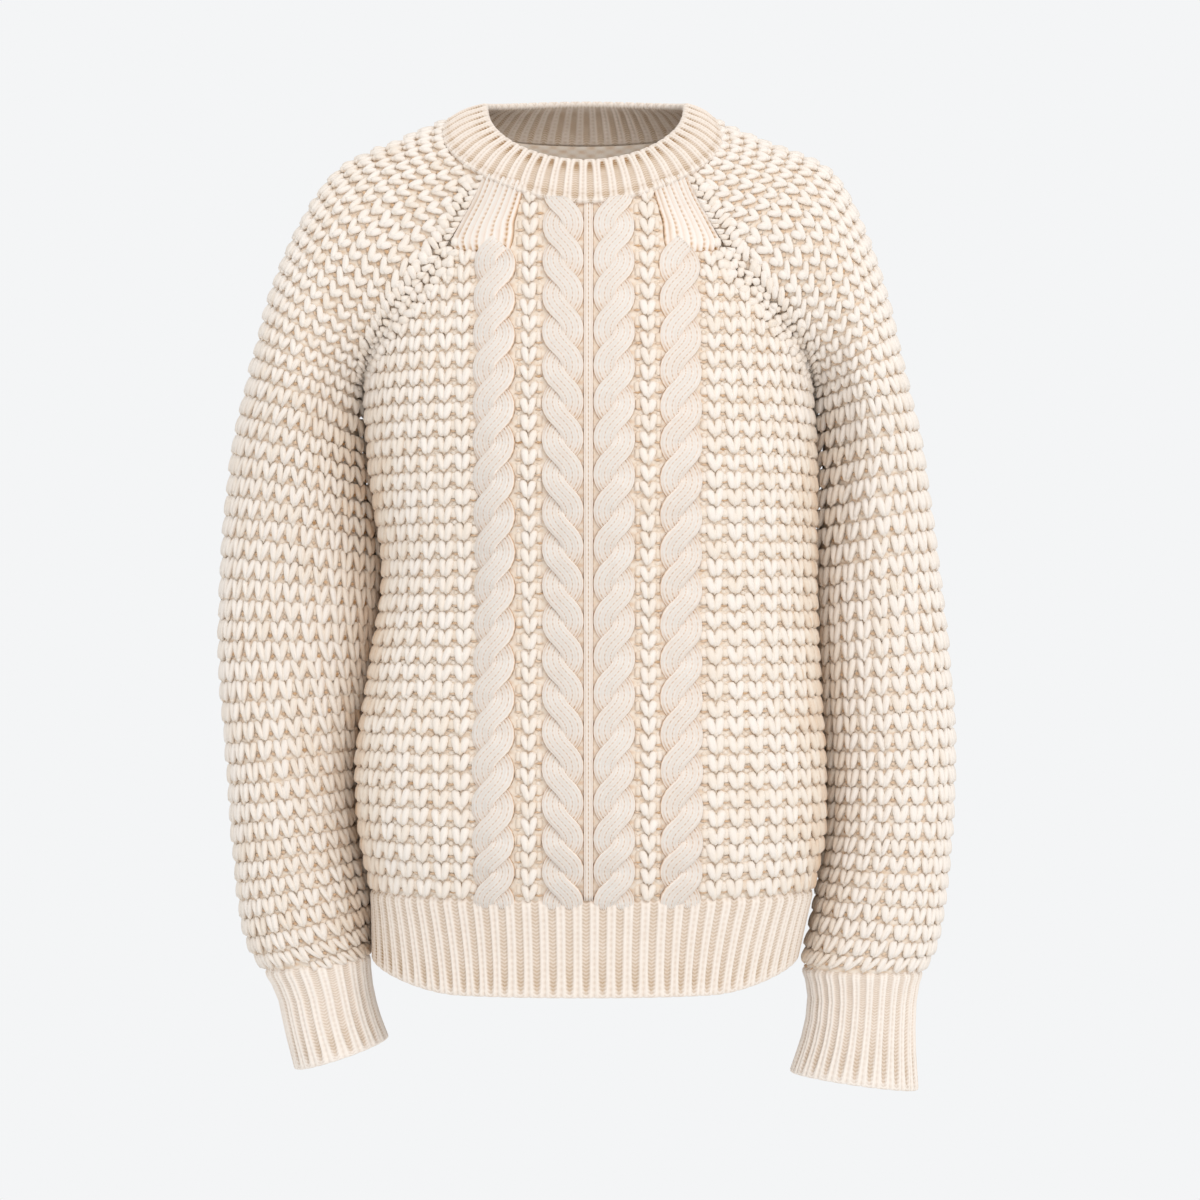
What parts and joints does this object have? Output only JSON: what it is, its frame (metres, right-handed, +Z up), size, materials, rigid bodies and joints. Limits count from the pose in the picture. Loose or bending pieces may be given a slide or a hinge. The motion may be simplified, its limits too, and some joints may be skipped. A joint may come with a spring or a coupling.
{
  "type": "cable knit sweater, worn shape, held up by its wearer",
  "caption": "Cream chunky knit raglan sweater with crew neck, front cables, waffle stitch body and sleeves, and ribbed edges, hollow as if worn.",
  "frame": {"origin": "middle of the neck opening, at the height where the neckband crosses the top of the shoulders", "axes": "+Z up, the front of the sweater faces -Y, +X towards the wearer's left"},
  "size_m": [0.558, 0.2473, 0.7527],
  "materials": {
    "waffle_knit": "chunky waffle and cable knit in heathered cream wool, soft and slightly fuzzy, matt",
    "rib_knit": "ribbed knit in the same cream wool, finer and firmer, matt"
  },
  "bodies": {
    "root": {"front_panel": "waffle_knit", "back_panel": "waffle_knit", "right_sleeve": "waffle_knit", "left_sleeve": "waffle_knit", "neckband": "rib_knit", "front_hem_rib": "rib_knit", "back_hem_rib": "rib_knit", "right_cuff": "rib_knit", "left_cuff": "rib_knit"}
  },
  "joints": []
}
